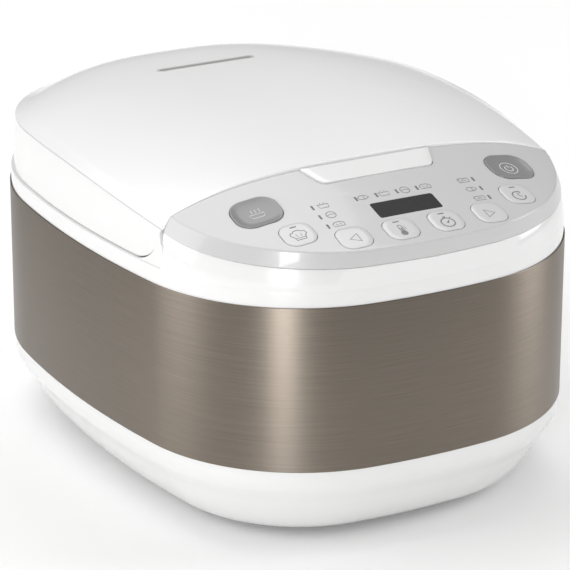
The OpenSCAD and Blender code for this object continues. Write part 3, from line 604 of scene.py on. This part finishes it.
# --- Display and lights
# The display is a smoked window, flush with the panel, over a small module on the control board.
# Each light is a clear bar that carries light from the board up to the face.
smoked = moulded("smoked_window", (0.014, 0.014, 0.015), 0.16, coat=0.4, grain=0.0, tint=0.002)
outline = pad(40.9, 14.5, 1.5)
rings = [[(x * s, y * s, z) for x, y in outline] for z, s in ((-2.5, 1), (-0.3, 1), (-0.1, 0.992),
                                                            (-0.1, 0.9), (-0.1, 0.4), (-0.1, 0.02))]
display = build("display_glass", [loft(seated(on_panel(0, 34.9), rings))])
finish_piece(display, "root", "display_cover", smoked, "display_window")
lens = moulded("smoked_light_bar", (0.16, 0.16, 0.16), 0.35, tint=0.03)
bars = []
for at in LIGHTS:
    rings = [[(x * s, y * s, z) for x, y in pad(1.3, 4.1, 0.4, 3)] for z,
             s in ((-3.5, 1), (-0.12, 1), (-0.05, 0.94), (-0.05, 0.02))]
    bars.append(loft(seated(on_panel(*at), rings)))
lights = build("light_bars", bars)
finish_piece(lights, "root", "light_lens", lens, "indicator_lights")

# --- Keys
# Each key is a satin plastic cap that slides down through the panel onto a switch. The six small ones are flat;
# the two large ones are dished for a fingertip, and darker. The signs on them are printed.
light_key = moulded("satin_light_key", (0.57, 0.57, 0.57), 0.3, coat=0.35, grain=0.03, tint=0.01)
dark_key = moulded("satin_dark_key", (0.22, 0.22, 0.225), 0.32, coat=0.25, grain=0.03, tint=0.02)
print_ink = moulded("grey_print", (0.19, 0.19, 0.19), 0.5, tint=0.02)
pale_ink = moulded("pale_print", (0.62, 0.62, 0.62), 0.5, tint=0.02)
proud, switch_top = 0.4, 9.85


def ribbon(points, width, closed=False, height=0.05):
    """A thin raised line of print through the points, flat on its seat."""
    n = len(points)
    rings = []
    for i, (x, y) in enumerate(points):
        before = points[i - 1] if closed or i else points[i]
        after = points[(i + 1) % n] if closed or i < n - 1 else points[i]
        way = Vector((after[0] - before[0], after[1] - before[1])).normalized()
        nx, ny = -way[1] * width / 2, way[0] * width / 2
        rings.append([(x + nx, y + ny, -0.03), (x - nx, y - ny, -0.03), (x - nx, y - ny, height),
                      (x + nx, y + ny, height)])
    return rings


def circle(r, at=(0, 0), start=0, sweep=360, steps=28):
    count = steps if sweep == 360 else steps + 1
    return [(at[0] + r * math.cos(math.radians(start + sweep * i / steps)),
             at[1] + r * math.sin(math.radians(start + sweep * i / steps)))
            for i in range(count)]


def dot(plan, height=0.05):
    return [[(x, y, -0.03) for x, y in plan], [(x, y, height) for x, y in plan]]


def strokes_of(sign):
    """Lofted strokes of a sign: (points, width, closed) for a line, (points, None, None) for a filled shape."""
    parts = []
    for points, width, closed in sign:
        parts.append((dot(points), False) if width is None else (ribbon(points, width, closed), closed))
    return parts


def stem_foot(at):
    """Height of the end of a key's stem, just clear of its switch on the flat board."""
    return (panel_z(0, 0) - panel_z(at[0], 0)) * panel_cos - switch_top


dash = (pad(4.0, 1.0, 0.3, 2), None, None)
moved_dash = ([(x, y + 6.6) for x, y in dash[0]], None, None)
crown_bar = ([(x, y + 3.0) for x, y in pad(2.2, 1.0, 0.3, 2)], None, None)
SIGNS = {
    "menu": [moved_dash, ([(-3.0, -5.2), (-3.3, -2.6), (-4.9, -0.6), (-4.4, 1.6), (-2.6, 1.9), (-1.4, 3.2),
                           (1.4, 3.2), (2.6, 1.9),
                           (4.4, 1.6), (4.9, -0.6), (3.3, -2.6), (3.0, -5.2)], 0.6, True),
             ([(-3.1, -3.6), (3.1, -3.6)], 0.4, False), ([(-1.2, -2.6), (-1.5, 0.2)], 0.35, False),
             ([(1.2, -2.6), (1.5, 0.2)], 0.35, False)],
    "left": [([(-3.0, -1.0), (2.6, 2.6), (2.6, -4.6)], 0.7, True)],
    "right": [([(3.0, -1.0), (-2.6, 2.6), (-2.6, -4.6)], 0.7, True)],
    "temperature": [moved_dash, (circle(2.1, (0, -4.4)), None, None),
                    ([(-1.1, -2.8), (-1.1, 2.4), (-0.5, 3.2), (0.5, 3.2), (1.1, 2.4), (1.1, -2.8)], 0.5,
                     False),
                    ([(0, -3), (0, 0.4)], 0.9, False)] + [([(1.9, y), (3.0, y)], 0.4, False)
                                                          for y in (-1.4, 0.1, 1.6)],
    "timer": [moved_dash, (circle(4.1, (0, -2.2)), 0.8, True), ([(0, -2.2), (1.6, -0.4)], 0.6, False),
              (circle(0.7, (0, -2.2), steps=12), None, None),
              crown_bar, ([(2.9, 1.4), (3.7, 2.2)], 0.7, False)],
    "clock": [moved_dash, (circle(4.1, (0, -2.2), 60, 300), 0.8, False),
              ([(0, 0.4), (0, -2.2), (1.9, -3.2)], 0.6, False),
              ([(1.0, 2.4), (2.4, 1.3), (1.5, -0.1)], 0.6, False)],
}
for name, at in SMALL_KEYS.items():
    node = "key_" + name
    seat = on_panel(*at)
    plan = pad(key_size, key_size, key_corner, 10)
    rings = [[(x * s, y * s, z) for x, y in plan] for z, s in
             ((-3.6, 0.94), (-3.6, 1), (proud - 0.35, 1), (proud - 0.12, 0.992), (proud, 0.97), (proud, 0.7),
              (proud, 0.35), (proud, 0.02))]
    cap = build(node + "_cap", [loft(seated(seat, rings))], sharp=40)
    foot = stem_foot(at)
    low = [[(x * s, y * s, z) for x, y in circle(2.5)] for z,
           s in ((foot, 0.2), (foot, 1), (-3.6, 1), (-3.6, 0.2))]
    wings = [[(x, y, z) for x, y in pad(key_size + 3, key_size - 4, key_corner)] for z in (-4.8, -3.5)]
    skirted = build(node + "_stem", [loft(seated(seat, low)), loft(seated(seat, wings))])
    paint(cap, light_key)
    paint(skirted, light_key)
    with bpy.context.temp_override(active_object=cap, selected_editable_objects=[cap, skirted],
                                   selected_objects=[cap, skirted], object=cap):
        bpy.ops.object.join()
    finish_piece(cap, node, "key_light", light_key, node)
    top = seat @ Matrix.Translation((0, 0, proud))
    sign = build(node + "_sign", [loft(seated(top, rings), endless=closed) for rings,
                                  closed in strokes_of(SIGNS[name])])
    finish_piece(sign, node, "key_light", print_ink)

BIG_SIGNS = {
    "power": [(circle(5.6, (0, 0)), 0.5, True), (circle(2.6, (0, -0.3), 125, 290), 0.6, False),
              ([(0, 0.2), (0, 3.2)], 0.6, False)],
    "program": [([(-4.6, -0.4), (-3.4, -3.6), (3.4, -3.6), (4.6, -0.4)], 0.5, True)] +
               [([(x, 1.0), (x + 0.7, 1.9), (x, 2.9), (x + 0.7, 3.8)], 0.45, False) for x in (-2.4, 0, 2.4)],
}
for name, at in BIG_KEYS.items():
    node = "key_" + name
    seat = on_panel(*at)
    plan = pad(29, 25, 10, 12)
    dish = [(0.94, proud - 0.1), (0.86, proud - 0.45), (0.76, proud - 0.85), (0.62, proud - 1.15),
            (0.45, proud - 1.3), (0.25, proud - 1.38), (0.02, proud - 1.4)]
    rings = [[(x * s, y * s, z) for x, y in plan] for s, z in
             [(0.94, -3.6), (1, -3.6), (1, proud - 0.3), (0.994, proud - 0.08), (0.98, proud),
              (0.965, proud)] + dish]
    cap = build(node + "_cap", [loft(seated(seat, rings))], sharp=60)
    foot = stem_foot(at)
    low = [[(x * s, y * s, z) for x, y in circle(2.5)] for z,
           s in ((foot, 0.2), (foot, 1), (-3.6, 1), (-3.6, 0.2))]
    wings = [[(x, y, z) for x, y in pad(32, 21, 10)] for z in (-4.8, -3.5)]
    skirted = build(node + "_stem", [loft(seated(seat, low)), loft(seated(seat, wings))])
    paint(cap, dark_key)
    paint(skirted, dark_key)
    with bpy.context.temp_override(active_object=cap, selected_editable_objects=[cap, skirted],
                                   selected_objects=[cap, skirted], object=cap):
        bpy.ops.object.join()
    finish_piece(cap, node, "key_grey", dark_key, node)
    top = seat @ Matrix.Translation((0, 0, proud - 1.32))
    sign = build(node + "_sign", [loft(seated(top, rings), endless=closed) for rings,
                                  closed in strokes_of(BIG_SIGNS[name])])
    finish_piece(sign, node, "key_grey", pale_ink)

# --- Printed signs on the panel
# Small outline signs for the cooking programs are printed in grey beside the lights, a fraction of a millimetre thick.
glyphs = [
    [([(-3.4, 1.2), (-2.6, -2.0), (2.6, -2.0), (3.4, 1.2)], 0.45, True),
     ([(-1.4, 2.0), (-0.9, 2.8)], 0.4, False), ([(1.0, 2.0), (1.5, 2.8)], 0.4, False)],
    [([(-3.2, -2.2), (-3.2, 1.6), (3.2, 1.6), (3.2, -2.2)], 0.45, True),
     ([(-3.9, 0.2), (-3.2, 0.2)], 0.5, False), ([(3.2, 0.2), (3.9, 0.2)], 0.5, False),
     ([(-1.6, -0.9), (0, 0.3), (1.6, -0.9)], 0.4, False)],
    [(circle(2.9, steps=20), 0.45, True), ([(-2.2, -0.2), (0, 0.6), (2.2, -0.2)], 0.4, False)],
    [([(-3.6, 0), (-1.8, 1.9), (1.4, 1.7), (3.5, 0), (1.4, -1.7), (-1.8, -1.9)], 0.45, True),
     ([(0.6, 1.4), (0.2, 0), (0.6, -1.4)], 0.35, False)],
    [([(-3.3, -1.9), (-3.5, 0.8), (-1.6, 2.2), (1.6, 2.2), (3.5, 0.8), (3.3, -1.9)], 0.45, True),
     ([(-1.6, 0.4), (-0.6, -1.0)], 0.35, False), ([(0.8, 0.6), (1.6, -0.8)], 0.35, False)],
]
panel_signs = []
for k, (x, at) in enumerate([(-46, 49), (-46, 40), (-46, 30.9), (46.2, 49.2), (46.2, 40), (46.4, 31.1),
                             (-20.4, 48.6), (-6.8, 48.6), (6.8, 48.4), (20.4, 48.6)]):
    for rings, closed in strokes_of(glyphs[(k * 2 + k // 5) % 5]):
        panel_signs.append(loft(seated(on_panel(x, at), rings), endless=closed))
printed = build("panel_signs", panel_signs)
finish_piece(printed, "root", "panel_grey", print_ink)

# --- Release button
# The wide white button in front of the lid is pressed down to draw the latch back; two springs lift it again.
# It is glossy like the body, with a softly crowned face.
seat = on_panel(0, release_at)
button_reach, spring_x, spring_y = 7.8, 28, -4
rings = []
for s, z in ((0.96, -3.4), (1, -3.4), (1, 0.1), (0.992, 0.4), (0.975, 0.52), (0.9, 0.58), (0.7, 0.6),
             (0.4, 0.6), (0.02, 0.6)):
    back_edge = (button_reach + panel_sin * z) / panel_cos
    rings.append([(x * (1 - (1 - s) * 0.25 if s > 0.95 else s), min(y, back_edge) * s, z) for x,
                  y in release_plan(0)])
stems = [loft(seated(seat, [[(side * spring_x + x * s, y * s + spring_y, z) for x, y in circle(2)]
                            for z, s in ((-7.4, 0.2), (-7.4, 1), (-3.2, 1), (-3.2, 0.2))]))
         for side in (-1, 1)]
button = build("release_cap", [loft(seated(seat, rings))] + stems, sharp=45)
finish_piece(button, "release", "shell_white", white, "release_button")

# --- Inner parts of the body
# Aluminium well, cast heating plate, sensor, boards, posts and pins are plain parts out of sight; each has its own finish.
well_metal = metal("spun_aluminium", (0.80, 0.80, 0.80), 0.36, 60.0)
plate_metal = metal("cast_aluminium", (0.66, 0.66, 0.66), 0.42, 400.0, 0.12)
dark_metal = metal("heated_steel", (0.22, 0.20, 0.18), 0.5, 90.0, 0.2)
wire_metal = metal("spring_wire", (0.66, 0.66, 0.65), 0.25, 500.0)
brass = metal("plain_brass", (0.72, 0.55, 0.28), 0.3, 300.0)
inner_white = moulded("matt_white_plastic", (0.78, 0.78, 0.77), 0.5, grain=0.08, tint=0.02)
inner_black = moulded("matt_black_plastic", (0.022, 0.022, 0.022), 0.55, grain=0.1, tint=0.006)
seal = moulded("silicone_seal", (0.55, 0.55, 0.54), 0.6, grain=0.05, tint=0.03)
board = moulded("green_board", (0.03, 0.15, 0.07), 0.45, grain=0.05, tint=0.012)
parts_yellow = moulded("component_bodies", (0.72, 0.52, 0.10), 0.4, grain=0.03, tint=0.05)
CARRIED = {"tie_posts": inner_white, "pot_well": well_metal, "heating_plate": plate_metal,
           "heating_element": dark_metal, "plate_posts": steel,
           "sensor_guide": inner_black, "sensor_cap": plate_metal, "sensor_spring": wire_metal,
           "power_board": board, "power_parts": parts_yellow,
           "power_inlet": inner_black, "inlet_pins": brass, "control_board": board,
           "key_switches": inner_black, "display_module": inner_black,
           "release_spring": wire_metal, "latch_hook": steel, "latch_pin": steel, "rear_housing": white,
           "hinge_pin": steel,
           "hinge_springs": wire_metal, "lid_frame": inner_white, "lid_catch": steel, "lid_arms": inner_white,
           "inner_lid": well_metal,
           "lid_gasket": seal, "steam_duct": inner_white, "steam_valve": inner_white}
for node, material in CARRIED.items():
    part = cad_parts[node]
    part.data.materials.clear()
    part.data.materials.append(material)

# --- Bowl
# The lift-out bowl is pressed from aluminium and coated dark inside and out; its rolled rim rests on the deck.
# The coating is faintly speckled.
finish = Finish("non_stick_coating")
speck = finish.noise(900.0, 3.0)
cloud = finish.noise(30.0, 2.0)
shade = finish.blend(speck, (0.035, 0.035, 0.037, 1), (0.085, 0.085, 0.088, 1))
coating = finish.done(base_color=shade, metallic=0.35, roughness=0.36 + (cloud - 0.5) * 0.1,
                      normal=finish.bump(speck, 0.15, 0.0001))
low, thick, corner = plate_z + 0.3, 1.6, 28.0
bend = [(bowl_r - corner + corner * math.sin(math.radians(a)),
         low + corner - corner * math.cos(math.radians(a))) for a in range(0, 91, 9)]
inner_bend = [(bowl_r - corner + (corner - thick) * math.sin(math.radians(a)),
               low + corner - (corner - thick) * math.cos(math.radians(a)))
              for a in range(90, -1, -9)]
rim = [(bowl_r, rim_top - 2.0), (rim_r - 1, rim_top - 2.0)] + [(rim_r - 1 + math.sin(math.radians(a)),
        rim_top - 1 - math.cos(math.radians(a))) for a in range(15, 181, 15)]
bowl_profile = [(0.01, low)] + bend + rim + [(bowl_r - thick + 1.2, rim_top),
        (bowl_r - thick + 0.3, rim_top - 0.4), (bowl_r - thick, rim_top - 1.2)] + inner_bend + [(0.01,
                                                            low + thick)]
bowl = build("cooking_bowl", [turned(bowl_profile, (0, bowl_y), 128)], sharp=40)
finish_piece(bowl, "bowl", "bowl_coating", coating, "inner_bowl")

# --- Lid cover
# The domed cover is one glossy moulding in a slightly greyer white; a narrow strip turns down round its edge.
# It is crowned over the bowl, falls away at the back, and meets the key panel at a fine gap.
slot_y = wide_y + 83


def crown(x, y):
    s = min(abs(x) / max(half_w(y, shoulder_in(y)), 1), 1)
    t = min(max((y - 108.0) / (173.2 - 108.0), 0), 1)
    return (14.5 - 0.021 * (y - wide_y)) * (1 - s ** 3) * (1 - t ** 5)


def top_z(x, y):
    return edge_z(y) + crown(x, y)


def lid_plan(inset, extra, height, line_steps=40):
    line = lid_line + extra
    w = half_w(line, inset(line) + extra)
    plan = [(w * (2 * i / line_steps - 1), line) for i in range(line_steps + 1)]
    plan += [(x - (inset(y) + extra) * nx, y - (inset(y) + extra) * ny) for x, y, nx,
             ny in OUTLINE if y > lid_line + keep_off]
    return [(x, y, height(x, y)) for x, y in plan]


centre = (0.0, (lid_line + rear_y) / 2)
edge = lid_plan(shoulder_in, 0, top_z)
shares = [0.02, 0.08] + [0.16 + 0.08 * i for i in range(9)] + [0.85, 0.9, 0.94, 0.97]
top = [towards(edge, centre, share, lambda x, y: top_z(x, y) - 0.005) for share in shares]
seam_ring = lid_plan(seam_in, 0, seam_z)
low_edge = [tuple(a + (b - a) * 0.25 for a, b in zip(p, q)) for p, q in zip(edge, seam_ring)]
top += rounded_edge(towards(edge, centre, 0.992, top_z), edge, low_edge)
strip = [lid_plan(seam_in, 0, lambda x, y: seam_z(x, y) + 0.35), lid_plan(seam_in, 0.25, seam_z),
         lid_plan(seam_in, wall, seam_z)]
inside = lid_plan(shoulder_in, wall, top_z)
under = [towards(inside, centre, share, lambda x, y: top_z(x, y) - wall)
         for share in (1, 0.9, 0.78, 0.62, 0.45, 0.28, 0.12, 0.02)]
cover = build("lid_dome", [loft(top + strip + under)], sharp=30)
slot_low = 195.0
slot_cut = loft([[(x, slot_y + y, z) for x, y in pad(68, 6, 2.99, 8)] for z in (slot_low, 225.0)])
carve(cover, [build("steam_opening", [slot_cut])], sharp=30)
lid_white = moulded("glossy_lid_plastic", (0.85, 0.85, 0.85), 0.22, coat=0.5)
finish_piece(cover, "lid", "lid_white", lid_white, "lid_cover")

# --- Lid skirts
# A white side skirt hangs from the lid's edge on each side and hides the inner lid; its front lower corner is rounded.
# The skirts are snapped under the cover, with a fine gap between.
stations = [corner_y - skirt_r * math.cos(math.radians(a)) for a in range(0, 91, 6)]
stations += [corner_y + (skirt_rear - corner_y) * i / 40 for i in range(1, 41)]
skirts = []
for side in (-1, 1):
    rings = []
    for k, y in enumerate(stations):
        low = corner_z - math.sqrt(max(skirt_r ** 2 - min(y - corner_y, 0) ** 2, 0))
        x0, head = half_w(y, skirt_in), max(seam_in(y), skirt_in)
        x1 = half_w(y, head)
        high = seam_z(x1, y) - 0.3
        e = 0.5 if k else 0.05
        at = lambda z: x0 + (x1 - x0) * (z - skirt_z) / max(high - skirt_z, 1)
        line = [(at(low) - wall, low), (at(low) - e * 0.9, low), (at(low) - e * 0.25, low + e * 0.25),
                (at(low + e), low + e), (at((low + high) / 2), (low + high) / 2),
                (at(high - e), high - e), (x1 - e * 0.3, high - e * 0.25), (x1 - e, high), (x1 - wall, high)]
        rings.append([(side * x, y, z) for x, z in line])
    skirts.append(loft(rings))
skirt = build("lid_side_skirts", skirts, sharp=40)
finish_piece(skirt, "lid", "shell_white", white, "lid_skirt")

# --- Steam slot
# Steam leaves by a long slot near the back of the lid, lined by a satin trim that is pressed in from above.
# Below it, the valve and duct carry steam through the inner lid.
slot_top = top_z(0, slot_y)
trim_rings = []
for w, d, z in ((68, 6, -3.0), (68, 6, 0.05), (67.6, 5.6, 0.2), (65.8, 3.8, 0.2), (65.2, 3.2, -0.2),
                (65, 3, -3.0)):
    trim_rings.append([(x, slot_y + y, slot_top + z) for x, y in pad(w, d, d / 2 - 0.01, 8)])
trim = build("slot_trim", [loft(trim_rings, endless=True)], sharp=45)
trim_paint = moulded("satin_silver_trim", (0.50, 0.50, 0.49), 0.35, coat=0.2, tint=0.02)
finish_piece(trim, "lid", "vent_trim", trim_paint, "steam_slot_frame")
lid_screw_set = repeated("lid_screw_set", screw("lid_screw", 15),
        [(sx * x, y, 167.2) for x, y in ((112, wide_y - 60), (88, hinge_y - 34)) for sx in (-1, 1)], steel)
finish_piece(lid_screw_set, "lid", "fastener_steel", steel, "lid_screws")

# --- Floor and light
# A plain pale floor, with soft lights on both sides and above. A narrow low light at the front left gives
# the band its bright bay.
floor_mesh = bpy.data.meshes.new("floor")
floor_mesh.from_pydata([(-12, -12, 0), (12, -12, 0), (12, 12, 0), (-12, 12, 0)], [], [(0, 1, 2, 3)])
floor = bpy.data.objects.new("floor", floor_mesh)
bpy.context.scene.collection.objects.link(floor)
finish = Finish("pale_floor")
floor_mesh.materials.append(finish.done(base_color=finish.blend(finish.noise(3.0), (0.95, 0.95, 0.95, 1),
                                                            (0.97, 0.97, 0.97, 1)), roughness=0.6))


def softbox(name, azimuth, elevation, distance, size, power, tall=None):
    light = bpy.data.lights.new(name, "AREA")
    light.shape, light.size, light.size_y, light.energy = "RECTANGLE", size, tall or size, power
    lamp = bpy.data.objects.new(name, light)
    a, e = math.radians(azimuth), math.radians(elevation)
    spot = Vector((math.sin(a) * math.cos(e), -math.cos(a) * math.cos(e), math.sin(e))) * distance
    lamp.location = spot
    lamp.rotation_euler = spot.to_track_quat("Z", "Y").to_euler()
    bpy.context.scene.collection.objects.link(lamp)


softbox("key_light", -37, 13, 3.0, 0.6, 36, 1.2)
softbox("left_light", -106, 26, 3.0, 1.6, 32, 2.4)
softbox("right_light", 72, 24, 3.0, 1.2, 32, 2.0)
softbox("top_light", 180, 72, 3.2, 3.0, 62)
world = bpy.data.worlds.new("studio")
world.use_nodes = True
world.node_tree.nodes["Background"].inputs[0].default_value = (1, 1, 1, 1)
world.node_tree.nodes["Background"].inputs[1].default_value = 0.34
bpy.context.scene.world = world
bpy.context.scene.view_settings.view_transform = "Standard"
